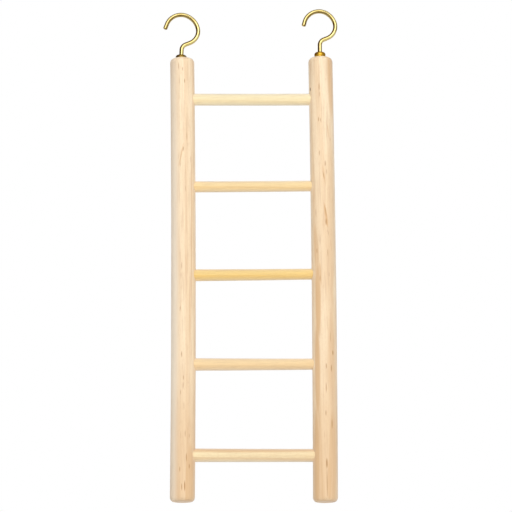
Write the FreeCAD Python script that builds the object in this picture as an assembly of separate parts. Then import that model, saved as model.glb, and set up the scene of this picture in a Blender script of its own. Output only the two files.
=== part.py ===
"""Hanging ladder for a cage bird: two dowel rails, five dowel rungs and two brass screw hooks.

The rails stand upright along Z, the rungs lie along X and both hooks open towards -X.
The origin is the hanging point: the middle of the ladder, at the mean height of the
two places where the hooks bear on the wire or perch that they hang from.
Everything is in millimetres.
"""

import FreeCAD, Part
import math
import os

Vector = FreeCAD.Vector
ALONG_X = Vector(1, 0, 0)
ALONG_Y = Vector(0, 1, 0)
ALONG_Z = Vector(0, 0, 1)

# Rails
rail_diameter = 12.7
clear_width = 59.6
end_rounding = 1.8

# Rungs, counted from the top
rung_diameter = 6.0
rung_pitch = 46.6
first_rung_below_top = 22.0
last_rung_above_bottom = 23.3

# Sockets for the rungs, blind holes in the rails' inner sides
socket_depth = 7.5
socket_end_gap = 0.5
glue_line = 0.05
rung_end_chamfer = 0.4

# Each rung was cut from its own dowel and none sits quite level:
# how much thicker it is, and how far its right end drops.
rung_variation = {
    "rung_1": (0.25, 0.4),
    "rung_2": (-0.35, -0.1),
    "rung_3": (-0.2, -0.3),
    "rung_4": (0.0, 0.25),
    "rung_5": (0.8, 0.55),
}

# How much further the right rail reaches down than the left, as sawn
right_rail_extra = 0.5

# Hook wire and its bends
wire_diameter = 2.2
neck_radius = 3.2
heel_radius = 6.85
back_radius = 9.9
crown_radius = 7.8
tip_bevel = 0.35

# Wood screw at the foot of each hook
screw_length = 12.5
screw_point_length = 2.6
screw_point_diameter = 0.3
pilot_clearance = 0.05
pilot_end_gap = 0.6

# Collar pressed onto the wire, which stops the hook at the wood
collar_diameter = 5.8
collar_height = 3.3
collar_waist = 0.35
collar_crown_rounding = 1.2
collar_foot_bevel = 0.4
collar_press_gap = 0.02
collar_seat_gap = 0.05

# How each hook came out of the bending tool and how it was screwed in:
# side step from the rail's axis, lean to the right in degrees, depth pressed into the wood,
# straight shank above the collar's foot, then the turns in degrees of the neck, heel, back
# and crown, and the straight runs between and after them.
left_hook = {
    "side_step": -0.8,
    "lean": 2.5,
    "sunk": 1.1,
    "shank_height": 6.3,
    "neck_turn": 65.7,
    "rise_run": 2.5,
    "heel_turn": 82.0,
    "back_turn": 54.0,
    "crown_turn": 91.5,
    "tip_run": 2.9,
}
right_hook = {
    "side_step": -0.6,
    "lean": 0.0,
    "sunk": 0.0,
    "shank_height": 7.4,
    "neck_turn": 68.7,
    "rise_run": 1.9,
    "heel_turn": 89.7,
    "back_turn": 32.2,
    "crown_turn": 112.5,
    "tip_run": 2.2,
}

# Sizes that follow
rail_radius = rail_diameter / 2
rail_axis_x = clear_width / 2 + rail_radius
rung_names = sorted(rung_variation)
rail_length = first_rung_below_top + (len(rung_names) - 1) * rung_pitch + last_rung_above_bottom
wire_radius = wire_diameter / 2

# How close to a level an edge has to lie to count as being on it
level_tolerance = 0.001


def turned(point, centre, degrees):
    """The point turned about the centre in the ladder's plane, anticlockwise seen from the front."""
    angle = math.radians(degrees)
    dx = point.x - centre.x
    dz = point.z - centre.z
    x = centre.x + dx * math.cos(angle) - dz * math.sin(angle)
    z = centre.z + dx * math.sin(angle) + dz * math.cos(angle)
    return Vector(x, 0, z)


def heading_vector(heading):
    """Unit vector in the ladder's plane, at so many degrees above the +X side."""
    angle = math.radians(heading)
    return Vector(math.cos(angle), 0, math.sin(angle))


def bent_wire_path(bends):
    """Edges of a hook's centreline from the collar's foot to the tip, and the crown's centre.

    Straight runs and tangent arcs: up the shank, right round the neck, up the rise, then
    left round the heel, the back and the crown, and straight down to the tip.
    """
    steps = [
        ("run", bends["shank_height"]),
        ("bend", neck_radius, -bends["neck_turn"]),
        ("run", bends["rise_run"]),
        ("bend", heel_radius, bends["heel_turn"]),
        ("bend", back_radius, bends["back_turn"]),
        ("bend", crown_radius, bends["crown_turn"]),
        ("run", bends["tip_run"]),
    ]
    here = Vector(0, 0, 0)
    heading = 90.0
    centre = here
    edges = []
    for step in steps:
        if step[0] == "run":
            there = here + heading_vector(heading) * step[1]
            edges.append(Part.makeLine(here, there))
        else:
            radius, turn = step[1], step[2]
            side = math.copysign(90.0, turn)
            centre = here + heading_vector(heading + side) * radius
            middle = turned(here, centre, turn / 2)
            there = turned(here, centre, turn)
            edges.append(Part.Arc(here, middle, there).toShape())
            heading = heading + turn
        here = there
    return edges, centre


def hook_placement(side, bends):
    """Where a hook's collar foot stands on its rail, and how the hook leans there."""
    foot = Vector(side * rail_axis_x + bends["side_step"], 0, rail_top - bends["sunk"])
    return FreeCAD.Placement(foot, FreeCAD.Rotation(ALONG_Y, bends["lean"]))


def bearing_point(bends):
    """Where the inside of a hook's crown bears on its wire, counted from the middle of the rail's end."""
    crown_centre = bent_wire_path(bends)[1]
    leaning = FreeCAD.Rotation(ALONG_Y, bends["lean"]).multVec(crown_centre)
    reach = crown_radius - wire_radius
    return Vector(leaning.x + bends["side_step"], 0, leaning.z + reach - bends["sunk"])


rail_top = -(bearing_point(left_hook).z + bearing_point(right_hook).z) / 2


def socket_bottoms(name):
    """The middles of a rung's left and right socket bottoms."""
    drop = rung_variation[name][1]
    height = rail_top - first_rung_below_top - rung_names.index(name) * rung_pitch
    reach = clear_width / 2 + socket_depth
    left_bottom = Vector(-reach, 0, height + drop / 2)
    right_bottom = Vector(reach, 0, height - drop / 2)
    return left_bottom, right_bottom


def dowel_between(left_end, right_end, radius):
    """Straight round bar from one point to another."""
    line = right_end - left_end
    return Part.makeCylinder(radius, line.Length, left_end, line)


def make_rung(name):
    """A rung: a chamfered dowel that stops just short of both socket bottoms."""
    radius = (rung_diameter + rung_variation[name][0]) / 2
    left_bottom, right_bottom = socket_bottoms(name)
    inset = (right_bottom - left_bottom).normalize() * socket_end_gap
    rung = dowel_between(left_bottom + inset, right_bottom - inset, radius)
    rims = [edge for edge in rung.Edges if edge.Closed]
    return rung.makeChamfer(rung_end_chamfer, rims)


def make_sockets(name):
    """What a rung's glued fit takes out of the rails: the rung's own line, wider by the glue line."""
    radius = (rung_diameter + rung_variation[name][0]) / 2 + glue_line
    left_bottom, right_bottom = socket_bottoms(name)
    return dowel_between(left_bottom, right_bottom, radius)


def make_screw():
    """The hook's screw below the collar: a straight shank that ends in a gimlet point."""
    straight = screw_length - screw_point_length
    shank = Part.makeCylinder(wire_radius, straight, Vector(0, 0, 0), -ALONG_Z)
    point = Part.makeCone(wire_radius, screw_point_diameter / 2, screw_point_length,
                          Vector(0, 0, -straight), -ALONG_Z)
    return shank.fuse(point)


def make_hook(side, bends):
    """One hook: its screw and the wire bent above it, in one piece."""
    edges = bent_wire_path(bends)[0]
    section = Part.Wire(Part.makeCircle(wire_radius, Vector(0, 0, 0), ALONG_Z))
    bent = Part.Wire(edges).makePipeShell([section], True, False)
    tip = edges[-1].Vertexes[-1].Point
    rims = [edge for edge in bent.Edges if edge.Closed]
    tip_rim = min(rims, key=lambda edge: (edge.CenterOfMass - tip).Length)
    bent = bent.makeChamfer(tip_bevel, [tip_rim])
    hook = bent.fuse(make_screw()).removeSplitter()
    hook.Placement = hook_placement(side, bends)
    return hook


def rims_at(shape, height):
    """The closed edges of a shape that lie at a height."""
    edges = [edge for edge in shape.Edges if edge.Closed]
    return [edge for edge in edges if abs(edge.CenterOfMass.z - height) < level_tolerance]


def make_collar(side, bends):
    """One collar: a turned bead, fullest above its middle, with the wire's hole through it."""
    top_radius = collar_diameter / 2
    foot_radius = top_radius - collar_waist
    hole_radius = wire_radius + collar_press_gap
    profile = Part.makePolygon([
        Vector(0, 0, 0),
        Vector(foot_radius, 0, 0),
        Vector(top_radius, 0, collar_height / 2),
        Vector(top_radius, 0, collar_height),
        Vector(0, 0, collar_height),
        Vector(0, 0, 0),
    ])
    bead = Part.Face(profile).revolve(Vector(0, 0, 0), ALONG_Z, 360)
    bead = bead.makeChamfer(collar_foot_bevel, rims_at(bead, 0.0))
    bead = bead.makeFillet(collar_crown_rounding, rims_at(bead, collar_height))
    collar = bead.cut(Part.makeCylinder(hole_radius, collar_height, Vector(0, 0, 0), ALONG_Z))
    collar.Placement = hook_placement(side, bends)
    return collar


def hook_bore(side, bends):
    """What a hook takes out of the end of its rail: the screw's hole and the sunk collar's seat."""
    straight = screw_length - screw_point_length + pilot_end_gap
    radius = wire_radius + pilot_clearance
    hole = Part.makeCylinder(radius, straight + collar_height, Vector(0, 0, collar_height), -ALONG_Z)
    point = Part.makeCone(radius, screw_point_diameter / 2, screw_point_length, Vector(0, 0, -straight), -ALONG_Z)
    bore = hole.fuse(point)
    if bends["sunk"] > 0:
        seat_radius = collar_diameter / 2 + collar_seat_gap
        bore = bore.fuse(Part.makeCylinder(seat_radius, collar_height))
    bore.Placement = hook_placement(side, bends)
    return bore


def make_rail(side, bends):
    """One rail: a dowel with rounded ends, drilled for the rungs and for the hook's screw."""
    length = rail_length + (right_rail_extra if side > 0 else 0)
    foot = Vector(side * rail_axis_x, 0, rail_top - length)
    dowel = Part.makeCylinder(rail_radius, length, foot, ALONG_Z)
    rims = [edge for edge in dowel.Edges if edge.Closed]
    dowel = dowel.makeFillet(end_rounding, rims)
    for name in rung_names:
        dowel = dowel.cut(make_sockets(name))
    return dowel.cut(hook_bore(side, bends))


def export(name, shape):
    """Writes one named piece, and stops if it isn't one sound solid."""
    solids = shape.Solids
    if len(solids) != 1 or not shape.isValid():
        raise ValueError(name + " is not one valid solid")
    solids[0].exportStep("parts/" + name + ".step")
    print(name, round(solids[0].Volume, 2), "mm3")


def main():
    """Builds and writes every piece of the ladder."""
    os.makedirs("parts", exist_ok=True)
    sides = {"left": (-1, left_hook), "right": (1, right_hook)}
    for label, (side, bends) in sides.items():
        export(label + "_rail", make_rail(side, bends))
        export(label + "_hook", make_hook(side, bends))
        export(label + "_collar", make_collar(side, bends))
    for name in rung_names:
        export(name, make_rung(name))
    for label, (side, bends) in sides.items():
        bearing = bearing_point(bends)
        print(label, "hook bears at", round(side * rail_axis_x + bearing.x, 3), round(rail_top + bearing.z, 3))
    print("rail top", round(rail_top, 3), "rail length", round(rail_length, 2))


main()
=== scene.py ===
"""A hanging bird ladder: its sanded wood and bent brass wire, and the small studio it hangs in.

Lengths are metres in the part's own frame: +Z up the rails, +X towards the right rail and
+Y away from the viewer. Sizes written in millimetres are turned to metres by MM.
"""

import logging
import math
from dataclasses import dataclass
from enum import Enum

import bmesh
import bpy
import numpy as np
from mathutils import Matrix, Vector


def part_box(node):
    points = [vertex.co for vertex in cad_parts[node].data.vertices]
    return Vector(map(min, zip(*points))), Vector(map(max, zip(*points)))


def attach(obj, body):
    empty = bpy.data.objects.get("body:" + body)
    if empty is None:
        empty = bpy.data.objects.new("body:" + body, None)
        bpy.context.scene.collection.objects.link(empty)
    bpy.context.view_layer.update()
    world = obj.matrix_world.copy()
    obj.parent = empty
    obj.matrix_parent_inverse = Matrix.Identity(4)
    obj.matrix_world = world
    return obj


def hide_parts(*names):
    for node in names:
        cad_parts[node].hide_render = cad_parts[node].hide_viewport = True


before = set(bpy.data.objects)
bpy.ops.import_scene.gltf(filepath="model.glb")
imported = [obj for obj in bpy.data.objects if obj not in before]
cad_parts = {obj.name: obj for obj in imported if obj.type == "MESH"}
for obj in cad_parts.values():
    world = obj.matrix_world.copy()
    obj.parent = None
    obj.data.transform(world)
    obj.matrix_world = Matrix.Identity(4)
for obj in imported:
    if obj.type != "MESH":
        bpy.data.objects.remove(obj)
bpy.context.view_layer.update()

MM = 0.001
FULL_TURN = 2 * math.pi
QUARTER_TURN = math.pi / 2
PHOTO_WIDTH_PX = 512
SHARP_DEGREES = 38
NOISE_WAVES = 7
NOISE_GAIN = 1.6
STRAIGHT = "straight_place"
WHITE = "FFFFFF"
Array = np.ndarray
Pair = tuple[float, float]
Triple = tuple[float, float, float]
Socket = bpy.types.NodeSocket
log = logging.getLogger("bird_ladder")


class Slot(Enum):
    """Names of the record's material slots. Nothing here uses them: each piece takes its own material."""

    RAIL = "rail_wood"
    RUNG = "rung_wood"
    HOOK = "hook_brass"
    COLLAR = "collar_brass"


class Side(Enum):
    """Which side of the ladder a piece is on, as the sign of its X."""

    LEFT = -1
    RIGHT = 1

    def node(self, kind: str) -> str:
        """The part's name for this side's piece of a kind."""
        return self.name.lower() + "_" + kind


def linear(colour: str) -> tuple[float, float, float, float]:
    """Turns an sRGB hex colour to linear light, by the standard sRGB curve.

    Args:
        colour: Six hex digits, such as "F5E1C4".

    Returns:
        Red, green, blue and an alpha of 1.
    """
    channels = [int(colour[start:start + 2], 16) / 255 for start in (0, 2, 4)]
    red, green, blue = (c / 12.92 if c <= 0.04045 else ((c + 0.055) / 1.055) ** 2.4 for c in channels)
    return red, green, blue, 1.0


class Graph:
    """A node tree that is being built, with a short method for each step that repeats."""

    def __init__(self, tree: bpy.types.NodeTree) -> None:
        """Starts with an empty tree."""
        tree.nodes.clear()
        self.tree = tree

    def add(self, kind: str, values: dict | None = None) -> bpy.types.Node:
        """Adds one node. A value that is a socket is linked, and any other is set.

        Args:
            kind: The node's type, such as "ShaderNodeMix".
            values: Values and sockets, by attribute name or by input name or number.

        Returns:
            The new node.
        """
        node = self.tree.nodes.new(kind)
        for key, value in (values or {}).items():
            if isinstance(value, Socket):
                self.tree.links.new(value, node.inputs[key])
            elif isinstance(key, str) and hasattr(node, key):
                setattr(node, key, value)
            else:
                node.inputs[key].default_value = value
        return node

    def math(self, operation: str, *values: Socket | float) -> Socket:
        """A number worked out from numbers."""
        return self.add("ShaderNodeMath", {"operation": operation, **dict(enumerate(values))}).outputs[0]

    def vector(self, operation: str, *values: Socket | Triple) -> Socket:
        """A vector worked out from vectors, or a number if it is a length or a dot product."""
        node = self.add("ShaderNodeVectorMath", {"operation": operation, **dict(enumerate(values))})
        return node.outputs["Value" if operation in ("LENGTH", "DOT_PRODUCT") else "Vector"]

    def component(self, vector: Socket, axis: str) -> Socket:
        """The X, Y or Z of a vector."""
        return self.add("ShaderNodeSeparateXYZ", {0: vector}).outputs[axis]

    def mapped(self, vector: Socket, **settings: str | Triple) -> Socket:
        """A vector moved, turned or scaled, by the Mapping node's own settings."""
        return self.add("ShaderNodeMapping", {"Vector": vector, **settings}).outputs[0]

    def noise(self, vector: Socket, detail: float, scale: float = 1.0, roughness: float = 0.5,
              output: str = "Fac") -> Socket:
        """A cloudy noise, as a number or as the node's Color."""
        values = {"Vector": vector, "Detail": detail, "Scale": scale, "Roughness": roughness}
        return self.add("ShaderNodeTexNoise", values).outputs[output]

    def ramp(self, value: Socket, start: float, end: float, low: float, high: float,
             is_smooth: bool = True) -> Socket:
        """Maps a value from start and end to low and high, and holds it there."""
        kind = "SMOOTHSTEP" if is_smooth else "LINEAR"
        return self.add("ShaderNodeMapRange", {"interpolation_type": kind, 0: value, 1: start, 2: end,
                                               3: low, 4: high}).outputs[0]

    def blend(self, share: Socket, under: Socket | str, over: Socket | str) -> Socket:
        """Mixes two colours, each a socket or a hex colour, by a share from 0 to 1."""
        first, second = (linear(side) if isinstance(side, str) else side for side in (under, over))
        return self.add("ShaderNodeMix", {"data_type": "RGBA", 0: share, 6: first, 7: second}).outputs[2]

    def bump(self, height: Socket, strength: float, depth_mm: float) -> Socket:
        """A surface direction that follows a height of so many millimetres."""
        return self.add("ShaderNodeBump", {"Height": height, "Strength": strength,
                                           "Distance": depth_mm * MM}).outputs[0]

    def shaders(self, share: Socket, under: bpy.types.Node, over: bpy.types.Node) -> bpy.types.Node:
        """Mixes two shaders by a share from 0 to 1."""
        return self.add("ShaderNodeMixShader", {0: share, 1: under.outputs[0], 2: over.outputs[0]})

    def end(self, kind: str, shader: bpy.types.Node) -> None:
        """Leads a shader to the tree's output."""
        self.add(kind, {"Surface": shader.outputs[0]})


def new_material(name: str) -> tuple[bpy.types.Material, Graph]:
    """Starts a material.

    Args:
        name: The material's name.

    Returns:
        The material and its empty node tree.
    """
    material = bpy.data.materials.new(name)
    material.use_nodes = True
    return material, Graph(material.node_tree)


def new_object(name: str, data: bpy.types.ID) -> bpy.types.Object:
    """Puts a mesh, a lamp or a camera into the scene.

    Args:
        name: The object's name.
        data: What the object shows.

    Returns:
        The object.
    """
    thing = bpy.data.objects.new(name, data)
    bpy.context.scene.collection.objects.link(thing)
    return thing


def xyz(x: Array, y: Array, z: Array) -> Array:
    """Joins three grids of coordinates, stretched to one form, to an array (..., 3) of points."""
    return np.stack(np.broadcast_arrays(x, y, z), -1)


def round_angles(count: int) -> Array:
    """So many angles, evenly spaced once round."""
    return np.linspace(0, FULL_TURN, count, endpoint=False)


def smooth_noise(angle: Array, height: Array, seed: int, turns: int, wave: float) -> Array:
    """A gentle unevenness over a round bar, between -1 and 1.

    Formula: the mean of a few cosines, each of a whole number of turns round the bar and of
    its own slow wave along it, with phases drawn from the seed.

    Args:
        angle: Angles round the bar, in radians.
        height: Places along the bar, in metres.
        seed: Which unevenness this is.
        turns: The most waves round the bar.
        wave: The shortest wave along the bar, in metres.

    Returns:
        The unevenness at each point.
    """
    draw = np.random.default_rng(seed)
    around = draw.integers(0, turns + 1, NOISE_WAVES)
    along = draw.uniform(0.2, 1.0, NOISE_WAVES) * FULL_TURN / wave
    phase = draw.uniform(0, FULL_TURN, NOISE_WAVES)
    waves = np.cos(angle[..., None] * around + height[..., None] * along + phase)
    return np.clip(waves.mean(axis=-1) * NOISE_GAIN, -1, 1)


class Skin:
    """A closed surface put together from rings of points.

    Every ring has its points in the same turning order, so that neighbouring rings join
    into quads. A point can carry its place from before the piece was bent, for the finish.
    """

    def __init__(self) -> None:
        """Starts with no points."""
        self.points: list[Array] = []
        self.straight: list[Array] = []
        self.faces: list[Array] = []
        self.is_bent = False
        self.count = 0

    def add(self, points: Array, straight: Array | None = None) -> Array:
        """Adds points in any grid form.

        Args:
            points: Array (..., 3) of places.
            straight: Array (..., 3) of the same points on the piece before it was bent.

        Returns:
            The new points' numbers, in the grid's own form.
        """
        flat = np.asarray(points, float).reshape(-1, 3)
        numbers = self.count + np.arange(len(flat))
        self.points.append(flat)
        self.straight.append(flat if straight is None else np.asarray(straight, float).reshape(-1, 3))
        self.is_bent = self.is_bent or straight is not None
        self.count += len(flat)
        return numbers.reshape(np.shape(points)[:-1])

    def join(self, numbers: Array, keep: Array | None = None) -> None:
        """Fills a stack of closed rings with quads.

        Args:
            numbers: Array (rings, round) of point numbers.
            keep: Array (rings - 1, round) of the quads to make, all of them if left out.
        """
        ahead = np.roll(numbers, -1, axis=1)
        quads = np.stack([numbers[:-1], ahead[:-1], ahead[1:], numbers[1:]], axis=-1)
        self.faces.append(quads.reshape(-1, 4) if keep is None else quads[keep])

    def cap(self, ring: Array, centre: Array) -> None:
        """Closes a ring with a fan of triangles round one point."""
        middle = np.full(len(ring), int(self.add(np.asarray(centre, float)[None])[0]))
        self.faces.append(np.stack([ring, np.roll(ring, -1), middle], axis=-1))

    def tube(self, numbers: Array, first: Array, last: Array) -> None:
        """Fills a stack of rings and closes both its ends.

        Args:
            numbers: Array (rings, round) of point numbers.
            first: The middle of the first end.
            last: The middle of the last end.
        """
        self.join(numbers)
        self.cap(numbers[0][::-1], first)
        self.cap(numbers[-1], last)

    def piece(self, name: str, finish: bpy.types.Material, replaces: str) -> None:
        """Makes the surface an object, with smooth faces that point outwards.

        Args:
            name: The object's name.
            finish: Its material.
            replaces: The part's node that it stands for.
        """
        mesh = bpy.data.meshes.new(name)
        corners = [corner for block in self.faces for corner in block.tolist()]
        mesh.from_pydata(np.concatenate(self.points).tolist(), [], corners)
        if self.is_bent:
            held = mesh.attributes.new(STRAIGHT, "FLOAT_VECTOR", "POINT")
            held.data.foreach_set("vector", np.concatenate(self.straight).ravel())
        shell = bmesh.new()
        shell.from_mesh(mesh)
        bmesh.ops.recalc_face_normals(shell, faces=shell.faces)
        shell.to_mesh(mesh)
        shell.free()
        mesh.polygons.foreach_set("use_smooth", np.ones(len(mesh.polygons), bool))
        mesh.set_sharp_from_angle(angle=math.radians(SHARP_DEGREES))
        mesh.materials.append(finish)
        thing = new_object(name, mesh)
        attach(thing, "root")
        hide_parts(replaces)
        log.info("%s: %d points, %d faces, stands for %s", name, len(mesh.vertices),
                 len(mesh.polygons), replaces)


class Tone(Enum):
    """What a mark in the wood is, with where its spindle starts and stops to fade."""

    BAND = (0.55, 1.05)
    # Painted light: a pale stretch that lightens the shaded side of a rail
    PAINTED_LIGHT = (0.2, 1.2)
    CANAL = (0.35, 1.1)
    # Dark marks where a rung meets a rail: partly a chipped edge, partly painted shade in the corner
    CHIP_AND_SHADE = (0.6, 1.0)


@dataclass(frozen=True)
class WoodMark:
    """One band, resin canal, pale stretch of painted light, or chip darkened by painted shade, on the side
    that faces the camera, as a spindle in the wood.

    Fall is millimetres down from a rail's top or left from a rung's middle. Across is millimetres
    from the bar's middle line, to the right on a rail and down on a rung. Length and width are
    millimetres, and lean is degrees to the right going up.
    """

    tone: Tone
    fall: float
    across: float
    length: float
    width: float = 0.55
    strength: float = 0.6
    lean: float = 0.0


def marks(tone: Tone, *rows: tuple[float, ...]) -> tuple[WoodMark, ...]:
    """Marks of one tone, each given by its fall, across, length, width, strength and lean."""
    return tuple(WoodMark(tone, *row) for row in rows)


@dataclass(frozen=True)
class SandedDowel:
    """Sanded dowel of a pale softwood such as pine, left bare.

    Bare sanded pine is matt with a faint whitish bloom of fine fuzz at a glancing view. Its wide
    growth rings show as long tan bands with one sharp edge, fine fibres run between them, and
    resin canals are short brown dashes along the bar. Real fibres are about 0.04 mm across, and
    they are drawn as bundles coarse enough to show.
    """

    name: str
    pale: str
    deep: str
    canal: str
    end_grain: str
    origin: Triple
    radius_mm: float
    pith_mm: Pair
    marks: tuple[WoodMark, ...]
    runs_along_x: bool = False
    # The colour of the painted light on a rail's shaded side
    painted_light: str = "FFF2DF"
    chip_and_shade: str = "5E3B1C"
    # The colour of the chips, partly painted shade in the rung and rail corners
    grain_tilt: float = 0.8
    ring_mm: float = 4.6
    ring_share: float = 0.34
    ring_fade: Pair = (0.3, 0.93)
    ring_stop: Pair = (0.95, 1.0)
    sway_mm: float = 1.6
    sway_wave_mm: Pair = (11.0, 55.0)
    drift_wave_mm: Pair = (4.5, 70.0)
    drift_fade: Pair = (0.38, 0.72)
    drift_share: float = 0.28
    fibre_mm: Pair = (0.8, 16.0)
    fibre_fade: Pair = (0.42, 0.74)
    fibre_share: float = 0.26
    fuzz_mm: Pair = (0.55, 1.7)
    fuzz_fade: Pair = (0.46, 0.74)
    fuzz_share: float = 0.2
    canal_gap_mm: float = 1.7
    canal_run: float = 9.0
    canal_fade: Pair = (0.06, 0.2)
    canal_chance: float = 0.16
    canal_share: float = 0.36
    end_fade: Pair = (0.75, 0.99)
    end_share: float = 0.8
    relief_strength: float = 0.4
    relief_mm: float = 0.05
    roughness: float = 0.6
    bloom: float = 0.4
    bloom_spread: float = 0.5

    def build(self) -> bpy.types.Material:
        """Makes the wood's material.

        Returns:
            The material, drawn in the object's own coordinates.
        """
        material, graph = new_material(self.name)
        centred = graph.vector("SUBTRACT", graph.add("ShaderNodeTexCoord").outputs["Object"], self.origin)
        lie = math.radians(-90) if self.runs_along_x else 0.0
        bar = graph.mapped(centred, Rotation=(0.0, lie, 0.0), Scale=(1 / MM, 1 / MM, 1 / MM))
        tilt = math.radians(self.grain_tilt)
        grain = graph.mapped(bar, Rotation=(tilt, tilt, 0.0))
        colour = self._rings(graph, grain)
        fibre = self._stretched(graph, grain, self.fibre_mm, 3.0)
        colour = graph.blend(graph.ramp(fibre, *self.fibre_fade, 0.0, self.fibre_share), colour, self.canal)
        fuzz = self._stretched(graph, grain, self.fuzz_mm, 2.0)
        colour = graph.blend(graph.ramp(fuzz, *self.fuzz_fade, 0.0, self.fuzz_share), colour, self.deep)
        dark = self._canals(graph, grain)
        colour = graph.blend(dark, colour, self.canal)
        # Painted light and painted shade go on with the marks: the pale stretch and the corner chips
        for tone, shade in ((Tone.BAND, self.deep), (Tone.PAINTED_LIGHT, self.painted_light), (Tone.CANAL, self.canal),
                            (Tone.CHIP_AND_SHADE, self.chip_and_shade)):
            colour = self._marked(graph, bar, colour, tone, shade)
        colour = self._ends(graph, grain, colour)
        # Raised fibres and slightly sunk canals
        relief = graph.bump(graph.math("SUBTRACT", fibre, dark), self.relief_strength, self.relief_mm)
        graph.end("ShaderNodeOutputMaterial", graph.add("ShaderNodeBsdfPrincipled", {
            "Base Color": colour, "Roughness": self.roughness, "IOR": 1.45, "Sheen Weight": self.bloom,
            "Sheen Roughness": self.bloom_spread, "Normal": relief}))
        return material

    def _stretched(self, graph: Graph, grain: Socket, size_mm: Pair, detail: float) -> Socket:
        """A noise drawn out along the grain, with features so wide and so long."""
        width, run = size_mm
        return graph.noise(graph.mapped(grain, Scale=(1 / width, 1 / width, 1 / run)), detail, roughness=0.55)

    def _rings(self, graph: Graph, grain: Socket) -> Socket:
        """Growth rings round a pith outside the bar.

        Formula: the distance from the pith's line, swayed by a slow noise, counted in rings.
        Within each ring the colour goes evenly to tan latewood and then back at once.

        Args:
            graph: The material's tree.
            grain: Millimetres along the grain.

        Returns:
            The colour.
        """
        width, run = self.sway_wave_mm
        slow = graph.noise(graph.mapped(grain, Scale=(1 / width, 1 / width, 1 / run)), 1.5, output="Color")
        sway = self.sway_mm
        shift = (-self.pith_mm[0] - sway / 2, -self.pith_mm[1] - sway / 2, 0.0)
        moved = graph.vector("MULTIPLY_ADD", slow, (sway, sway, 0.0), shift)
        flat = graph.vector("MULTIPLY", graph.vector("ADD", grain, moved), (1.0, 1.0, 0.0))
        count = graph.math("DIVIDE", graph.vector("LENGTH", flat), self.ring_mm)
        part = graph.math("FRACT", count)
        share = graph.math("MULTIPLY", graph.ramp(part, *self.ring_fade, 0.0, self.ring_share),
                           graph.ramp(part, *self.ring_stop, 1.0, 0.0))
        broad = self._stretched(graph, grain, self.drift_wave_mm, 1.0)
        drift = graph.ramp(broad, *self.drift_fade, 0.0, self.drift_share)
        return graph.blend(share, graph.blend(drift, self.pale, self.deep), self.deep)

    def _canals(self, graph: Graph, grain: Socket) -> Socket:
        """Resin canals: brown dashes in a few cells of a drawn-out pattern, drawn coarser than real.

        Args:
            graph: The material's tree.
            grain: Millimetres along the grain.

        Returns:
            How dark it is, from 0 to 1.
        """
        gap = self.canal_gap_mm
        cells = graph.add("ShaderNodeTexVoronoi", {
            "Vector": graph.mapped(grain, Scale=(1 / gap, 1 / gap, 1 / (gap * self.canal_run))),
            "Scale": 1.0, "Randomness": 1.0})
        near = graph.ramp(cells.outputs["Distance"], *self.canal_fade, self.canal_share, 0.0)
        draw = graph.add("ShaderNodeSeparateColor", {0: cells.outputs["Color"]})
        return graph.math("MULTIPLY", near, graph.math("LESS_THAN", draw.outputs[0], self.canal_chance))

    def _marked(self, graph: Graph, bar: Socket, colour: Socket, tone: Tone, shade: str) -> Socket:
        """Lays the marks of one tone over the colour.

        Formula: a mark's share falls with the distance from its middle on the bar's surface,
        counted in half widths across the grain and in half lengths along it.

        Args:
            graph: The material's tree.
            bar: Millimetres along and across the bar.
            colour: The colour so far.
            tone: Which marks are laid.
            shade: Their hex colour.

        Returns:
            The colour with the marks.
        """
        total: Socket | None = None
        for mark in (mark for mark in self.marks if mark.tone is tone):
            front = -math.sqrt(max(self.radius_mm ** 2 - mark.across ** 2, 0.0))
            away = graph.mapped(bar, vector_type="TEXTURE", Location=(mark.across, front, -mark.fall),
                                Rotation=(0.0, math.radians(mark.lean), 0.0),
                                Scale=(mark.width / 2, mark.width / 2, mark.length / 2))
            share = graph.ramp(graph.vector("LENGTH", away), *tone.value, mark.strength, 0.0)
            total = share if total is None else graph.math("MAXIMUM", total, share)
        return colour if total is None else graph.blend(total, colour, shade)

    def _ends(self, graph: Graph, grain: Socket, colour: Socket) -> Socket:
        """End grain: a deeper colour with ring lines where the surface faces along the bar.

        Args:
            graph: The material's tree.
            grain: Millimetres along the grain.
            colour: The colour so far.

        Returns:
            The colour with the end grain.
        """
        facing = graph.component(graph.add("ShaderNodeNewGeometry").outputs["Normal"],
                                 "X" if self.runs_along_x else "Z")
        share = graph.ramp(graph.math("ABSOLUTE", facing), *self.end_fade, 0.0, self.end_share)
        lines = graph.add("ShaderNodeTexWave", {"Vector": grain, "Scale": 0.3, "Distortion": 1.6,
                                                "Detail": 2.0})
        return graph.blend(share, colour, graph.blend(lines.outputs["Fac"], self.end_grain, self.deep))


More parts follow.
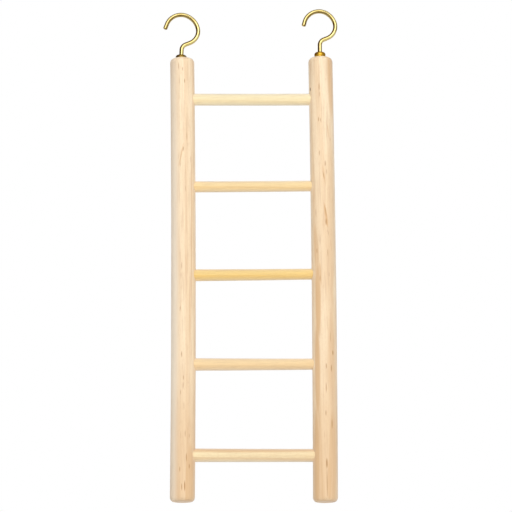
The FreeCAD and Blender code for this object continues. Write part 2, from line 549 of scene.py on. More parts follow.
@dataclass(frozen=True)
class BrassPlate:
    """Bright brass plating on drawn and bent steel wire, or on a pressed bead.

    Thin plating is a clear yellow mirror that turns brown at a glancing view. Fine lines left by the
    drawing die blur it along the wire, and it dulls unevenly where fingers touched it. A band of
    painted shade darkens the inner side of each bend.
    """

    name: str
    colour: str
    dull: str
    edge: str
    roughness: float
    bend_shade: float = 0.0
    # The colour of the painted shade inside the bends
    brown: str = "5C4006"
    wire_radius_mm: float = 1.1
    line_mm: Pair = (0.16, 14.0)
    clouds_per_mm: float = 0.45
    shade_middle: float = 0.45
    shade_fade: Pair = (0.15, 0.6)
    dull_fade: Pair = (0.4, 0.8)
    blur_fade: Pair = (0.3, 0.8)
    extra_blur: float = 0.1
    line_strength: float = 0.15
    line_depth_mm: float = 0.01

    def build(self) -> bpy.types.Material:
        """Makes the plated metal's material.

        Formula: a band of painted shade darkens the plating inside the bends, on the side that faces away
        from the light, and it fades with the distance from the band's middle, in wire radii.

        Returns:
            The material, drawn by the wire's places before it was bent.
        """
        material, graph = new_material(self.name)
        held = graph.add("ShaderNodeAttribute", {"attribute_name": STRAIGHT}).outputs["Vector"]
        width, run = (size * MM for size in self.line_mm)
        lines = graph.noise(graph.mapped(held, Scale=(1 / width, 1 / width, 1 / run)), 2.0)
        cloud = graph.noise(held, 3.0, self.clouds_per_mm / MM)
        tint = graph.blend(graph.ramp(cloud, *self.dull_fade, 0.0, 1.0, False), self.colour, self.dull)
        # Painted shade: a dark band along the inner side of each bend
        reach = self.wire_radius_mm * MM
        across = graph.component(held, "X")
        off_shade = graph.math("ABSOLUTE", graph.math("ADD", across, self.shade_middle * reach))
        start, end = (share * reach for share in self.shade_fade)
        tint = graph.blend(graph.ramp(off_shade, start, end, self.bend_shade, 0.0), tint, self.brown)
        blur = graph.ramp(cloud, *self.blur_fade, self.roughness, self.roughness + self.extra_blur, False)
        graph.end("ShaderNodeOutputMaterial", graph.add("ShaderNodeBsdfPrincipled", {
            "Base Color": tint, "Metallic": 1.0, "Specular Tint": linear(self.edge), "Roughness": blur,
            "Normal": graph.bump(lines, self.line_strength, self.line_depth_mm)}))
        return material


@dataclass(frozen=True)
class WireBends:
    """How one hook came out of the bending tool, in millimetres and degrees.

    The wire runs up its shank, right round the neck, up the rise, left round the heel, the
    back and the crown, and straight down to the tip.
    """

    side_step: float
    lean: float
    sunk: float
    shank: float
    neck_turn: float
    rise: float
    heel_turn: float
    back_turn: float
    crown_turn: float
    tip: float
    neck_radius: float = 3.2
    heel_radius: float = 6.85
    back_radius: float = 9.9
    crown_radius: float = 7.8

    def stretches(self) -> tuple[Array, Array]:
        """The wire as straight and bent stretches.

        Returns:
            Their lengths from the collar's foot, and their curvatures.
        """
        turns = np.radians([0, self.neck_turn, 0, self.heel_turn, self.back_turn, self.crown_turn, 0])
        radii = np.array([1, self.neck_radius, 1, self.heel_radius, self.back_radius, self.crown_radius, 1])
        lengths = turns * radii + np.array([self.shank, 0, self.rise, 0, 0, 0, self.tip])
        bends = np.where(turns > 0, 1 / radii, 0) * np.array([1, -1, 1, 1, 1, 1, 1])
        return lengths, bends

    def place(self, side: Side) -> Matrix:
        """Where the hook's collar foot stands on its rail of the part, and how the hook leans there.

        Args:
            side: Which rail the hook is in.

        Returns:
            The placement.
        """
        low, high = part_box(side.node("rail"))
        foot = Vector(((low.x + high.x) / 2 + self.side_step * MM, 0, high.z - self.sunk * MM))
        return Matrix.Translation(foot) @ Matrix.Rotation(math.radians(self.lean), 4, "Y")


def moved_by(place: Matrix, points: Array) -> Array:
    """Moves an array (..., 3) of points by a placement."""
    grid = np.array(place)
    return points @ grid[:3, :3].T + grid[:3, 3]


@dataclass
class Rung:
    """One rung: a thin dowel, slightly tapered and out of true, glued into both rails."""

    name: str
    wood: SandedDowel
    seed: int
    taper_mm: Pair
    rounds: int = 64
    stations: int = 110
    chamfer: float = 0.4 * MM
    unevenness: float = 0.035 * MM
    waves_round: int = 4
    wave: float = 18 * MM
    sag: float = 0.08 * MM

    def __post_init__(self) -> None:
        """Reads the rung's line and its end radii from the part, and tapers it by hundredths."""
        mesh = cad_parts[self.name].data
        points = np.empty(len(mesh.vertices) * 3, np.float32)
        mesh.vertices.foreach_get("co", points)
        points = points.reshape(-1, 3).astype(float)
        self.ends = []
        self.radii = []
        for reach, change in zip((points[:, 0].min(), points[:, 0].max()), self.taper_mm):
            near = points[np.abs(points[:, 0] - reach) < 1.5 * self.chamfer]
            self.ends.append(np.array([reach, 0.0, (near[:, 2].max() + near[:, 2].min()) / 2]))
            self.radii.append((near[:, 1].max() - near[:, 1].min()) / 2 + change * MM)

    def make(self) -> None:
        """Builds the rung.

        Formula: round the line between its ends, at a radius that goes evenly from one end's
        to the other's, less a gentle unevenness and a chamfer at each end.
        """
        length = float(np.linalg.norm(self.ends[1] - self.ends[0]))
        edge = self.chamfer / length
        run = np.unique(np.concatenate([np.linspace(0, 1, self.stations), [edge, 1 - edge]]))
        place, turn = np.meshgrid(run, round_angles(self.rounds), indexing="ij")
        noise = smooth_noise(turn, place * length, self.seed, self.waves_round, self.wave)
        radius = self.radii[0] + (self.radii[1] - self.radii[0]) * place
        radius -= self.unevenness * (1 + noise) / 2
        radius -= np.clip(self.chamfer - np.minimum(place, 1 - place) * length, 0, None)
        line = self.ends[0] + (self.ends[1] - self.ends[0]) * place[..., None]
        droop = -self.sag * np.sin(math.pi * place)
        skin = Skin()
        skin.tube(skin.add(line + xyz(0.0, radius * np.cos(turn), radius * np.sin(turn) + droop)), *self.ends)
        skin.piece(self.name + "_dowel", self.wood.build(), self.name)

    def at(self, reach: float) -> Pair:
        """The rung at a distance along X.

        Args:
            reach: The distance, in metres.

        Returns:
            The rung's height and radius there.
        """
        share = (reach - self.ends[0][0]) / (self.ends[1][0] - self.ends[0][0])
        height = self.ends[0][2] + (self.ends[1][2] - self.ends[0][2]) * share
        return float(height), float(self.radii[0] + (self.radii[1] - self.radii[0]) * share)


@dataclass
class Rail:
    """One rail: a dowel with tumbled ends, drilled for its rungs and for its hook."""

    side: Side
    wood: SandedDowel
    rungs: list[Rung]
    bends: WireBends
    seed: int
    bow_mm: Triple
    rounds: int = 96
    spacing: float = 1.3 * MM
    window: int = 12
    window_rows: int = 12
    window_height: float = 5.2 * MM
    window_shares: tuple[float, ...] = (0.35, 0.65, 0.85, 1.0)
    end_steps: int = 10
    end_rounding: float = 1.8 * MM
    end_rise: float = 2.3 * MM
    end_waver: Pair = (0.16, 0.12)
    end_seed: int = 5
    unevenness: float = 0.05 * MM
    waves_round: int = 3
    wave: float = 60 * MM
    glue_line: float = 0.05 * MM
    rim_wear: float = 0.14 * MM
    socket_gap: float = 0.5 * MM
    seat_radius: float = 2.95 * MM
    seat_rim: Pair = (0.3 * MM, 0.12 * MM)
    bore_radius: float = 1.15 * MM
    bore_depth: float = 10.5 * MM
    bore_point: float = 2.6 * MM
    foot_shares: Triple = (0.3, 0.65, 0.9)
    wall_shares: tuple[float, ...] = (0.0, 0.33, 0.66, 1.0)
    bore_shares: Triple = (0.25, 0.6, 1.0)

    def __post_init__(self) -> None:
        """Reads the rail's place and size from the part, and lays out its columns and rings."""
        low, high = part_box(self.side.node("rail"))
        self.axis_x = (low.x + high.x) / 2
        self.radius = (high.y - low.y) / 2
        self.foot, self.top = low.z, high.z
        self.inward = -self.side.value
        self.inner_x = self.axis_x + self.inward * self.radius
        self.turn = round_angles(self.rounds)
        self.heights, self.starts = self._heights()

    def _axis(self, height: Array) -> Array:
        """The bar's bent middle line.

        Formula: a parabola through its offsets at the top, middle and foot.

        Args:
            height: Heights, in metres.

        Returns:
            The line's place along X at each height.
        """
        fall = (self.top - height) / (self.top - self.foot)
        top, middle, foot = (offset * MM for offset in self.bow_mm)
        bend = (top * (1 - fall) * (1 - 2 * fall) + 4 * middle * fall * (1 - fall)
                + foot * fall * (2 * fall - 1))
        return self.axis_x + bend

    def _placed(self, turn: Array, radius: Array, height: Array) -> Array:
        """Points at an angle from the rail's inner side, where the rungs enter, a radius and a height."""
        return xyz(self._axis(height) + self.inward * radius * np.cos(turn), radius * np.sin(turn), height)

    def _side(self, turn: Array, height: Array) -> Array:
        """Points on the rail's side: at its radius, less a gentle unevenness."""
        noise = smooth_noise(turn, height, self.seed, self.waves_round, self.wave)
        return self._placed(turn, self.radius - self.unevenness * (1 + noise) / 2, height)

    def _heights(self) -> tuple[Array, list[int]]:
        """Shares out the rings up the side, closer together in a window round each socket.

        Returns:
            The rings' heights, and the number of the ring that each window starts at.
        """
        starts = []
        stops = [np.array([self.foot + self.end_rise])]
        for rung in reversed(self.rungs):
            middle = rung.at(self.inner_x)[0]
            low, high = middle - self.window_height, middle + self.window_height
            last = stops[-1][-1]
            steps = max(round((low - last) / self.spacing), 1)
            stops.append(last + np.arange(1, steps) * ((low - last) / steps))
            starts.append(sum(len(block) for block in stops))
            stops.append(np.linspace(low, high, self.window_rows + 1))
        last = stops[-1][-1]
        steps = max(round((self.top - self.end_rise - last) / self.spacing), 1)
        stops.append(np.linspace(last, self.top - self.end_rise, steps + 1)[1:])
        return np.concatenate(stops), starts

    def _end_rings(self, at_top: bool) -> Array:
        """Rings over a tumbled end, from the flat to the side.

        Formula: a quarter of an ellipse whose width changes a little round the rim, as an end
        does that was rounded by tumbling.

        Args:
            at_top: Whether it is the top end.

        Returns:
            Array (rings, round, 3) of places.
        """
        climb = np.linspace(0, 1, self.end_steps + 1)[:-1, None] * QUARTER_TURN
        level = np.full_like(self.turn, self.foot + at_top)
        noise = smooth_noise(self.turn, level, self.seed + self.end_seed, self.waves_round, 1.0)
        wide, tall = (1 + waver * noise for waver in self.end_waver)
        radius = self.radius - self.unevenness - self.end_rounding * wide * (1 - np.sin(climb))
        reach = self.end_rise * tall * (1 - np.cos(climb))
        return self._placed(self.turn, radius, self.top - reach if at_top else self.foot + reach)

    def _socket(self, skin: Skin, numbers: Array, start: int, rung: Rung) -> None:
        """Cuts one rung socket into the side.

        Formula: straight lines in angle and height from the window's edge to the socket's rim,
        which is the circle of the rung seen along X, then a worn rim, a wall and a bottom.

        Args:
            skin: The rail's surface.
            numbers: Array (rings, round) of the side's point numbers.
            start: The ring that the window starts at.
            rung: The rung that goes in.
        """
        columns = np.arange(-self.window, self.window + 1) % self.rounds
        rows = np.arange(start, start + self.window_rows + 1)
        edge_rows = np.concatenate([np.full(2 * self.window, rows[0]), rows[:-1],
                                    np.full(2 * self.window, rows[-1]), rows[:0:-1]])
        edge_columns = np.concatenate([columns[:-1], np.full(self.window_rows, columns[-1]),
                                       columns[:0:-1], np.full(self.window_rows, columns[0])])
        edge_turn = (self.turn[edge_columns] + math.pi) % FULL_TURN - math.pi
        edge_height = self.heights[edge_rows]
        middle, radius = rung.at(self.inner_x)
        hole = radius + self.glue_line
        rim = hole + self.rim_wear
        spin = np.arctan2(self.radius * np.sin(edge_turn), edge_height - middle)
        to_turn = np.arcsin(rim * np.sin(spin) / self.radius) - edge_turn
        to_height = middle + rim * np.cos(spin) - edge_height
        stack = [numbers[edge_rows, edge_columns]]
        for share in self.window_shares:
            stack.append(skin.add(self._side(edge_turn + to_turn * share, edge_height + to_height * share)))
        bottom = (rung.ends[0] if self.inward > 0 else rung.ends[1])[0] - self.inward * self.socket_gap
        wall = np.sqrt(self.radius ** 2 - (hole * np.sin(spin)) ** 2) - self.rim_wear
        mouth = self._axis(middle) + self.inward * wall
        for share in self.wall_shares:
            reach = mouth + (bottom - mouth) * share
            stack.append(skin.add(xyz(reach, hole * np.sin(spin), middle + hole * np.cos(spin))))
        skin.join(np.array(stack))
        skin.cap(stack[-1], np.array([bottom, 0.0, middle]))

    def _hook_hole(self, skin: Skin, ring: Array) -> None:
        """Cuts the hook's hole into the top, with a seat where its collar was drawn into the wood.

        Formula: circles round the hook's own leaning axis, from the seat's rim to the point.

        Args:
            skin: The rail's surface.
            ring: Point numbers of the top's inmost ring.
        """
        place = self.bends.place(self.side)
        sunk = self.bends.sunk * MM
        rim = self.seat_radius if sunk else self.bore_radius
        outer, inner = self.seat_rim
        circles = [(rim + outer, sunk), (rim + inner, sunk), (rim, sunk - inner)]
        if sunk:
            circles += [(rim, 0.0), (self.bore_radius, 0.0)]
        circles += [(self.bore_radius, -self.bore_depth * share) for share in self.bore_shares]
        stack = [ring]
        for radius, height in circles:
            across = self.inward * radius * np.cos(self.turn)
            moved = moved_by(place, xyz(across, radius * np.sin(self.turn), height))
            if height == sunk:
                moved[:, 2] = self.top
            stack.append(skin.add(moved))
        skin.join(np.array(stack))
        skin.cap(stack[-1], moved_by(place, np.array([[0, 0, -self.bore_depth - self.bore_point]]))[0])

    def make(self) -> None:
        """Builds the rail: foot, side with its sockets, top and hook hole in one closed skin."""
        skin = Skin()
        flat = self._end_rings(False)
        middle = np.array([self.axis_x, 0.0, self.foot])
        shares = np.array(self.foot_shares)[:, None, None]
        below = skin.add(np.concatenate([middle + (flat[0] - middle) * shares, flat]))
        side = skin.add(self._side(self.turn, self.heights[:, None]))
        above = skin.add(self._end_rings(True)[::-1])
        keep = np.ones((len(self.heights) - 1, self.rounds), bool)
        hidden = np.arange(-self.window, self.window) % self.rounds
        for start in self.starts:
            keep[np.ix_(range(start, start + self.window_rows), hidden)] = False
        skin.join(side, keep)
        skin.join(np.concatenate([below, side[:1]]))
        skin.join(np.concatenate([side[-1:], above]))
        skin.cap(below[0][::-1], middle)
        for start, rung in zip(self.starts, reversed(self.rungs)):
            self._socket(skin, side, start, rung)
        self._hook_hole(skin, above[-1])
        name = self.side.node("rail")
        skin.piece(name + "_dowel", self.wood.build(), name)


@dataclass
class Hook:
    """One screw hook: a threaded point and the wire bent above it, in one piece."""

    side: Side
    bends: WireBends
    metal: BrassPlate
    wire_radius: float = 1.1 * MM
    rounds: int = 48
    step: float = 0.13 * MM
    fine_steps: int = 6001
    tip_rounding: float = 0.5 * MM
    tip_rings: int = 8
    screw_length: float = 12.5 * MM
    screw_plain: float = 2.0 * MM
    screw_runout: float = 1.2 * MM
    screw_point: float = 2.6 * MM
    point_share: float = 0.14
    thread_pitch: float = 1.15 * MM
    thread_depth: float = 0.3 * MM
    thread_flank: float = 1.25
    thread_step: float = 0.1 * MM
    mark_start: float = 30.0 * MM
    mark_gap: float = 1.05 * MM
    mark_count: int = 4
    mark_depth: float = 0.1 * MM
    mark_width: float = 0.2 * MM
    mark_slant: float = 0.6

    def __post_init__(self) -> None:
        """Works out where the hook stands and how long its wire is above the collar's foot."""
        self.place = self.bends.place(self.side)
        lengths, self.curvatures = self.bends.stretches()
        self.stretch_ends = np.cumsum(lengths) * MM
        self.length = self.stretch_ends[-1]

    def _centreline(self) -> tuple[Array, Array, Array]:
        """Follows the wire from the screw's end to the tip.

        Formula: the heading is a quarter turn plus the sum of curvature times length so far,
        and the place is the sum of unit steps along the heading.

        Returns:
            Stations along the wire, with their places and headings.
        """
        fine = np.linspace(0, self.length, self.fine_steps)
        stretch = np.searchsorted(self.stretch_ends, (fine[1:] + fine[:-1]) / 2)
        bend = self.curvatures[np.minimum(stretch, len(self.stretch_ends) - 1)] / MM
        pace = fine[1] - fine[0]
        heading = QUARTER_TURN + np.concatenate([[0], np.cumsum(bend * pace)])
        half = (heading[1:] + heading[:-1]) / 2
        across = np.concatenate([[0], np.cumsum(np.cos(half) * pace)])
        up = np.concatenate([[0], np.cumsum(np.sin(half) * pace)])
        below = np.arange(-self.screw_length + self.thread_step / 2, -0.5 * self.step, self.thread_step)
        above = np.arange(0, self.length - self.tip_rounding, self.step)
        climb = np.linspace(0, 1, self.tip_rings) * QUARTER_TURN
        rounding = self.length - self.tip_rounding * (1 - np.sin(climb))
        station = np.concatenate([below, above, rounding])
        x = np.where(station < 0, 0, np.interp(station, fine, across))
        z = np.where(station < 0, station, np.interp(station, fine, up))
        heading = np.where(station < 0, QUARTER_TURN, np.interp(station, fine, heading))
        return station, np.stack([x, z], -1), heading

    def _radius(self, station: Array, turn: Array) -> Array:
        """Cuts the wire to its thread, point, tip and grip marks.

        Formula: the wire's radius, less a V thread cut on a helix under the collar, a gimlet
        point, a rounded tip, and crossed slanting grooves where the bending tool gripped.

        Args:
            station: Stations along the wire, as a column.
            turn: Angles round the wire, as a row.

        Returns:
            The radius at each station and turn.
        """
        phase = (station / self.thread_pitch - turn / FULL_TURN) % 1.0
        valley = np.clip(np.abs(phase - 0.5) / 0.5 * self.thread_flank, 0, 1)
        depth = np.clip((-station - self.screw_plain) / self.screw_runout, 0, 1) * self.thread_depth
        radius = self.wire_radius - valley * depth
        radius = radius * np.clip((station + self.screw_length) / self.screw_point, self.point_share, 1)
        past = np.clip(station - (self.length - self.tip_rounding), 0, self.tip_rounding)
        radius = radius - (self.tip_rounding - np.sqrt(self.tip_rounding ** 2 - past ** 2))
        middle = self.mark_start + self.mark_gap * (np.arange(self.mark_count) - (self.mark_count - 1) / 2)
        front = (turn + QUARTER_TURN + math.pi) % FULL_TURN - math.pi
        slant = self.mark_slant * self.wire_radius * front[..., None]
        place = station[..., None] - middle
        groove = sum(np.exp(-((place + way * slant) / self.mark_width) ** 2) for way in (1, -1))
        return radius - self.mark_depth * groove.sum(-1) * np.exp(-front ** 4)

    def make(self) -> None:
        """Builds the hook.

        Formula: circles square to the centreline, whose radius depends on the station along
        the wire and on the turn round it.
        """
        station, middle, heading = self._centreline()
        turn = round_angles(self.rounds)[None]
        radius = self._radius(station[:, None], turn)
        side, depth = radius * np.cos(turn), radius * np.sin(turn)
        x = middle[:, :1] + side * np.sin(heading)[:, None]
        z = middle[:, 1:] - side * np.cos(heading)[:, None]
        skin = Skin()
        numbers = skin.add(moved_by(self.place, xyz(x, depth, z)), xyz(side, depth, station[:, None]))
        ends = np.array([[0, 0, -self.screw_length], [middle[-1, 0], 0, middle[-1, 1]]])
        skin.tube(numbers, *moved_by(self.place, ends))
        name = self.side.node("hook")
        skin.piece(name + "_wire", self.metal.build(), name)


@dataclass
class Collar:
    """The pressed bead that stops a hook at the wood."""

    side: Side
    bends: WireBends
    metal: BrassPlate
    radius: float = 2.9 * MM
    height: float = 3.3 * MM
    waist: float = 0.35 * MM
    flank: Pair = (0.44, 0.52)
    flank_step: float = 0.05 * MM
    crown_rounding: float = 1.2 * MM
    foot_rounding: float = 0.4 * MM
    hole: float = 1.12 * MM
    lip_width: float = 0.2 * MM
    lip_falls: Pair = (0.02 * MM, 0.18 * MM)
    foot_points: int = 7
    crown_points: int = 13
    rounds: int = 80

    def _profile(self) -> Array:
        """The bead's section from the hole's foot outwards, up and back.

        Formula: quarter circles at the foot and the crown, joined by a flank that leans out
        to the middle and stands upright above it.

        Returns:
            Array (points, 2) of radius and height.
        """
        foot = np.linspace(-QUARTER_TURN, 0, self.foot_points)
        crown = np.linspace(0, QUARTER_TURN, self.crown_points)
        low = self.radius - self.waist
        lower, upper = (share * self.height for share in self.flank)
        rows = [np.array([[self.hole, 0.0], [(self.hole + low) / 2, 0.0]]),
                np.stack([low - self.foot_rounding * (1 - np.cos(foot)),
                          self.foot_rounding * (1 + np.sin(foot))], -1),
                np.array([[self.radius - self.flank_step, lower], [self.radius, upper]]),
                np.stack([self.radius - self.crown_rounding * (1 - np.cos(crown)),
                          self.height - self.crown_rounding * (1 - np.sin(crown))], -1),
                np.array([[self.hole + self.lip_width, self.height - self.lip_falls[0]],
                          [self.hole, self.height - self.lip_falls[1]]])]
        return np.concatenate(rows)

    def make(self) -> None:
        """Builds the collar: its section carried once round the wire."""
        turn = round_angles(self.rounds)
        section = self._profile()
        local = xyz(section[:, :1] * np.cos(turn), section[:, :1] * np.sin(turn), section[:, 1:])
        skin = Skin()
        numbers = skin.add(moved_by(self.bends.place(self.side), local), local)
        skin.join(np.concatenate([numbers, numbers[:1]]))
        name = self.side.node("collar")
        skin.piece(name + "_bead", self.metal.build(), name)


@dataclass(frozen=True)
class SoftBox:
    """A soft lamp that faces the ladder. Its place and size are metres, and its power is watts."""

    name: str
    place: Triple
    size: Pair
    power: float

    def hang(self, aim: Vector) -> None:
        """Hangs the lamp.

        Args:
            aim: The place that it faces.
        """
        light = bpy.data.lights.new(self.name, "AREA")
        light.shape = "RECTANGLE"
        light.size, light.size_y = self.size
        light.energy = self.power
        place = Vector(self.place)
        towards = (aim - place).to_track_quat("-Z", "Y").to_matrix().to_4x4()
        new_object(self.name, light).matrix_world = Matrix.Translation(place) @ towards


@dataclass
class Studio:
    """The camera, the pale floor and the soft light, from the front and more weakly from behind."""

    elevation: float = -12.7
    roll: float = 0.326
    distance: float = 1.3141
    focal_px: float = 2561.9
    aim: Triple = (0.00158, 0.0, -0.1294)
    sensor: float = 36.0
    floor_height: float = -0.62
    floor_reach: float = 30.0
    floor_glow: float = 0.86
    paper: str = "F2F2F0"
    lamps: tuple[SoftBox, ...] = (
        SoftBox("key", (0.12, -1.12, 0.26), (1.5, 1.5), 6.9),
        SoftBox("key_core", (0.14, -1.12, 0.28), (0.8, 0.6), 3.1),
        SoftBox("back_fill", (0.05, 1.3, 0.2), (0.7, 1.1), 6.5))
    ambient: float = 0.48
    mirror: float = 0.8
    mirror_slope: Triple = (0.28, 0.0, 0.5)
    mirror_fade: Pair = (0.35, 0.9)
    room: str = "8A7440"

    def camera(self) -> None:
        """Sets the camera at the photograph's angle: below the ladder and looking slightly up."""
        lens = bpy.data.cameras.new("camera")
        lens.sensor_width = self.sensor
        lens.lens = self.focal_px / PHOTO_WIDTH_PX * self.sensor
        lens.clip_start = 0.05
        eye = new_object("camera", lens)
        rise = math.radians(self.elevation)
        roll = math.radians(self.roll)
        ahead = Vector((0, math.cos(rise), -math.sin(rise)))
        right = Vector((1, 0, 0))
        up = right.cross(ahead)
        right, up = right * math.cos(roll) - up * math.sin(roll), right * math.sin(roll) + up * math.cos(roll)
        place = Vector(self.aim) - ahead * self.distance
        eye.matrix_world = Matrix.Translation(place) @ Matrix((right, up, -ahead)).transposed().to_4x4()
        bpy.context.scene.camera = eye

    def _shown(self, graph: Graph, to_metal: bool) -> Socket:
        """Tells where the background is seen as white: by the camera, through glass and by metal.

        Args:
            graph: The tree that asks.
            to_metal: Whether polished metal sees it too.

        Returns:
            One there, and zero elsewhere.
        """
        path = graph.add("ShaderNodeLightPath").outputs
        direct = graph.math("MAXIMUM", path["Is Camera Ray"], path["Is Transmission Ray"])
        return graph.math("MAXIMUM", direct, path["Is Glossy Ray"]) if to_metal else direct

    def floor(self) -> None:
        """Lays a plain pale floor well below the ladder, which takes its soft shadow.

        It shows nearly white to the camera, to polished metal and through clear things, and its
        remaining share is real paper that the ladder shades.
        """
        reach, height = self.floor_reach, self.floor_height
        signs = ((-1, -1), (1, -1), (1, 1), (-1, 1))
        mesh = bpy.data.meshes.new("floor")
        mesh.from_pydata([(x * reach, y * reach, height) for x, y in signs], [], [(0, 1, 2, 3)])
        material, graph = new_material("pale_paper")
        paper = graph.add("ShaderNodeBsdfDiffuse", {"Color": linear(self.paper)})
        glow = graph.add("ShaderNodeEmission", {"Color": linear(WHITE), "Strength": 1.0})
        share = graph.math("MULTIPLY", self._shown(graph, True), self.floor_glow)
        graph.end("ShaderNodeOutputMaterial", graph.shaders(share, paper, glow))
        mesh.materials.append(material)
        thing = new_object("floor", mesh)

    def world(self) -> None:
        """Surrounds the ladder with even grey light and a white background.

        The camera sees white. Polished metal sees a nearly white world in front of it and behind
        it, and a dim warm room to its sides, more of it to the left and below.
        """
        world = bpy.data.worlds.new("studio")
        bpy.context.scene.world = world
        world.use_nodes = True
        graph = Graph(world.node_tree)
        ahead = graph.add("ShaderNodeTexCoord").outputs["Generated"]
        square = graph.math("ABSOLUTE", graph.component(ahead, "Y"))
        level = graph.ramp(graph.math("ADD", square, graph.vector("DOT_PRODUCT", ahead, self.mirror_slope)),
                           *self.mirror_fade, 0.0, 1.0)
        tint = graph.blend(level, self.room, WHITE)
        soft, mirror, white = (
            graph.add("ShaderNodeBackground", {"Color": colour, "Strength": strength}) for colour, strength in
            ((linear(WHITE), self.ambient), (tint, self.mirror), (linear(WHITE), 1.0)))
        is_mirrored = graph.add("ShaderNodeLightPath").outputs["Is Glossy Ray"]
        unseen = graph.shaders(is_mirrored, soft, mirror)
        graph.end("ShaderNodeOutputWorld", graph.shaders(self._shown(graph, False), unseen, white))

    def make(self) -> None:
        """Sets up everything that isn't part of the ladder."""
        bpy.context.scene.view_settings.view_transform = "Standard"
        self.camera()
        self.floor()
        for lamp in self.lamps:
            lamp.hang(Vector(self.aim))
        self.world()
        log.info("studio: camera %.1f degrees below the ladder, %.2f m away", -self.elevation, self.distance)


@dataclass(frozen=True)
class RungLook:
    """What sets one rung apart: its light and its dark shade, its taper at both ends and its marks."""

    pale: str
    deep: str
    taper_mm: Pair = (0.0, 0.0)
    marks: tuple[WoodMark, ...] = ()


@dataclass(frozen=True)
class SideLook:
    """What sets one side apart: the rail's bow, pith and marks, the hook's bends and the bead's plating."""

    bow_mm: Triple
    pith_mm: Pair
    bends: WireBends
    bead: BrassPlate
    marks: tuple[WoodMark, ...]


RUNG_LOOKS = {
    # The chips at the top of the rungs' right ends are partly painted shade in the corner at the rail
    "rung_1": RungLook("FFECB9", "F2D696", marks=marks(Tone.CHIP_AND_SHADE, (-29.0, -2.7, 3.4, 0.9, 1.0))),
    "rung_2": RungLook("FCDC99", "EFC26F", (0.08, -0.05), marks(Tone.CHIP_AND_SHADE, (-29.5, -2.6, 2.2, 0.8, 1.0))),
    "rung_3": RungLook("FAD373", "EDB720", (0.2, -0.1)),
    "rung_4": RungLook("FCD89A", "E8BC76", (0.25, -0.16)),
    "rung_5": RungLook("FFE8B3", "E0AC62", (0.06, -0.12), marks(Tone.BAND, (0, -2.9, 140, 5.6, 0.85))),
}

# Bright plating with a brown glancing edge and painted shade inside the bends, for the polished hooks
WIRE = BrassPlate("brass_plated_wire", colour="D0C084", dull="B5A05A", edge="86661A", roughness=0.17,
                  bend_shade=0.8)

LEFT = SideLook(
    bow_mm=(-0.2, 0.56, 0.05),
    pith_mm=(19.0, 8.0),
    bends=WireBends(side_step=-0.8, lean=2.5, sunk=1.1, shank=6.3, neck_turn=65.7, rise=2.5,
                    heel_turn=82.0, back_turn=54.0, crown_turn=91.5, tip=2.9),
    # A bead sunk into the wood and a little dull, its colour darkened to brown as painted shade of the shadow
    # it sits in
    bead=BrassPlate("shaded_brass_bead", colour="8E7232", dull="7C6128", edge="6A5014", roughness=0.34),
    marks=marks(
        # The first band, wider than the rail and centred below its foot, makes the rail darker towards the
        # bottom
        Tone.BAND, (237, 0.0, 150, 34, 0.45), (223.5, 4.0, 56, 7.4, 0.8), (95, 4.6, 120, 1.3, 0.6),
        (138, 3.8, 52, 1.0, 0.85), (90, -5.0, 16, 1.8, 0.8), (54.5, -0.8, 17, 1.0, 0.7, 11),
    # The pale stretch down the left rail's left side is painted light
    ) + marks(Tone.PAINTED_LIGHT, (124, -4.7, 360, 7.8, 0.7)) + marks(
        Tone.CANAL, (5.5, -1.9, 5.0), (7, 0.2, 2.6), (13.5, -1.5, 5.0, 0.5, 0.4), (13.5, 1.2, 3.2, 0.6, 0.75),
        (31.5, -4.6, 6.0, 0.6, 0.35), (47.5, 2.9, 3.0, 0.5, 0.35), (50, 0.6, 3.4, 0.6, 0.7, 8),
        (54, -1.8, 6.0, 0.5, 0.45, 6), (58.5, -0.9, 5.0, 0.5, 0.4, 10), (71, 1.8, 4.5, 0.5, 0.45),
        (111.5, -0.2, 5.2), (116.5, -0.5, 4.4, 0.5, 0.55), (134, -1.0, 4.2, 0.6, 0.8, 5),
        (151, -5.0, 6.0, 0.6, 0.4), (157.5, -0.2, 4.2, 0.55, 0.75), (163.5, -4.3, 2.2), (169.5, 0.7, 3.4),
        (173.5, 0.6, 4.6), (177, -0.7, 3.6), (172, 3.0, 2.6, 0.5, 0.4), (182.5, -2.2, 3.0, 0.5, 0.5),
        (184.5, -3.7, 3.8), (184, 1.0, 5.0, 0.5, 0.4), (193.5, -4.0, 6.0, 0.6, 0.5),
        (198, -2.1, 6.0, 0.5, 0.4), (198, 1.6, 4.4), (199, 3.6, 3.2), (210, 2.2, 5.4, 0.65, 0.75),
        (214.5, 3.6, 3.2, 0.7, 0.8), (216, -1.1, 3.6, 0.6, 0.75), (224.5, 1.4, 6.6, 0.7, 1.0),
        (225, -0.1, 4.6, 0.6, 0.8),
    ),
)

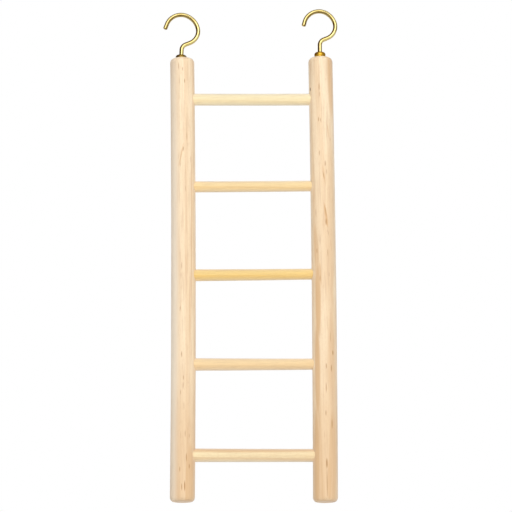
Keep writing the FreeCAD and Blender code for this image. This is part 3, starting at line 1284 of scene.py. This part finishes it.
RIGHT = SideLook(
    bow_mm=(-0.42, 0.12, -0.4),
    pith_mm=(-15.0, 12.0),
    bends=WireBends(side_step=-0.6, lean=0.0, sunk=0.0, shank=7.4, neck_turn=68.7, rise=1.9,
                    heel_turn=89.7, back_turn=32.2, crown_turn=112.5, tip=2.2),
    # A bead as bright as new, a deeper yellow than the wire
    bead=BrassPlate("brass_plated_bead", colour="C49A34", dull="AC8228", edge="7E5C12", roughness=0.26),
    marks=marks(
        # The first band makes the rail darker towards the bottom, and the wide bands 3.4 to 4.2 mm right of
        # the middle darken most of its right edge
        Tone.BAND, (237, 1.0, 150, 32, 0.45), (11, 4.3, 44, 1.4, 0.95, -3), (7, 4.9, 64, 5.4, 0.75),
        (42, 3.2, 18, 1.0, 0.6, -9), (64.5, 0.6, 14, 1.2, 0.5, -8), (86, 1.5, 17, 1.5, 1.0, -8),
        (101, 3.8, 24, 0.9, 0.7, -9), (102, -3.9, 34, 3.6, 0.6, -5), (130, -3.2, 52, 3.8, 0.9),
        (116, -1.9, 16, 1.5, 0.7, -3), (166, -3.9, 60, 4.2, 0.85), (212, -4.6, 70, 4.6, 0.9),
        (84, 4.2, 110, 6.0, 0.45), (168, 3.4, 76, 5.4, 0.45), (212, 3.6, 70, 6.4, 0.75),
        (223.5, 1.6, 34, 2.6, 0.85),
    ) + marks(
        Tone.CANAL, (17, -1.4, 5.2, 0.6, 0.75), (21, -1.1, 3.6, 0.5, 0.5), (34.5, -1.8, 3.2, 0.6, 0.75),
        (35, -0.8, 3.4, 0.5, 0.65, -8), (45, 4.1, 3.0), (52.5, -1.6, 4.0), (58, 1.3, 4.0, 0.6, 0.8),
        (62.5, 2.1, 3.4, 0.5, 0.5), (64.5, 0.4, 5.6, 0.6, 0.65, -10), (89, 1.4, 4.6, 0.9, 0.8),
        (83.5, 1.2, 8.0, 0.6, 0.5, -9), (94.5, 2.4, 5.0, 0.5, 0.45, -10), (98.5, -1.8, 6.0, 0.5, 0.4),
        (104, -3.5, 3.8, 0.6, 0.75), (105, 2.1, 5.0, 0.5, 0.55), (118.5, -2.0, 4.2, 0.6, 0.6),
        (116.5, 2.7, 3.2, 0.5, 0.4), (149, 3.0, 7.0, 0.5, 0.5), (157, 4.1, 3.2, 0.8, 0.95),
        (164, 0.7, 3.8, 0.6, 0.75), (165, 3.2, 4.8, 0.65, 0.9), (175, 0.5, 6.6, 0.55, 0.8),
        (188, 0.2, 3.8, 0.6, 0.8), (193.5, 3.3, 6.6, 0.7, 0.95), (202.5, 3.6, 14, 0.4, 0.5),
        (213.5, 0.4, 6.4, 0.95, 0.95), (224, 0.4, 21, 0.5, 0.9), (231, 5.2, 2.0, 0.9, 0.9),
    # The chip above the top rung is partly painted shade in the corner at the rung
    ) + marks(Tone.CHIP_AND_SHADE, (17.5, -5.7, 2.8, 1.0, 0.95)),
)


@dataclass
class Ladder:
    """The whole ladder: rails, rungs, hooks and collars, each with its own finish."""

    rung_seed: int = 20
    rail_seed: int = 40

    def rail_wood(self, side: Side, look: SideLook) -> SandedDowel:
        """Chooses one rail's pale pine, with the marks that show on its front.

        Args:
            side: Which rail it is.
            look: What sets that side apart.

        Returns:
            The wood.
        """
        low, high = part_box(side.node("rail"))
        return SandedDowel(name="pine_dowel_" + side.name.lower(), pale="FFE8C6", deep="E4BB8B",
                           canal="BE8650", end_grain="E2BE94", origin=((low.x + high.x) / 2, 0.0, high.z),
                           radius_mm=(high.x - low.x) / 2 / MM, pith_mm=look.pith_mm, marks=look.marks)

    def rung_wood(self, name: str, look: RungLook) -> SandedDowel:
        """Chooses one rung's yellower, plainer wood, with a stronger bloom.

        Args:
            name: The rung's node.
            look: What sets it apart.

        Returns:
            The wood.
        """
        low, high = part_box(name)
        return SandedDowel(name="sapwood_dowel_" + name, pale=look.pale, deep=look.deep, canal="B98A48",
                           end_grain=look.deep, origin=(0.0, 0.0, (low.z + high.z) / 2),
                           radius_mm=(high.y - low.y) / 2 / MM, pith_mm=(9.0, 30.0), marks=look.marks,
                           runs_along_x=True, ring_mm=2.6, ring_share=0.5, fibre_mm=(0.3, 9.0),
                           canal_chance=0.03, bloom=1.0, bloom_spread=0.75)

    def make(self) -> None:
        """Builds every piece in order: rungs, rails, hooks and collars."""
        rungs = [Rung(name, self.rung_wood(name, look), self.rung_seed + number, look.taper_mm)
                 for number, (name, look) in enumerate(RUNG_LOOKS.items())]
        for rung in rungs:
            rung.make()
        for side, look in ((Side.LEFT, LEFT), (Side.RIGHT, RIGHT)):
            wood = self.rail_wood(side, look)
            Rail(side, wood, rungs, look.bends, self.rail_seed + side.value, look.bow_mm).make()
            Hook(side, look.bends, WIRE).make()
            Collar(side, look.bends, look.bead).make()


def main() -> None:
    """Builds the ladder and its studio."""
    logging.basicConfig(level=logging.INFO, format="%(name)s: %(message)s")
    Ladder().make()
    Studio().make()


if __name__ == "__main__":
    main()
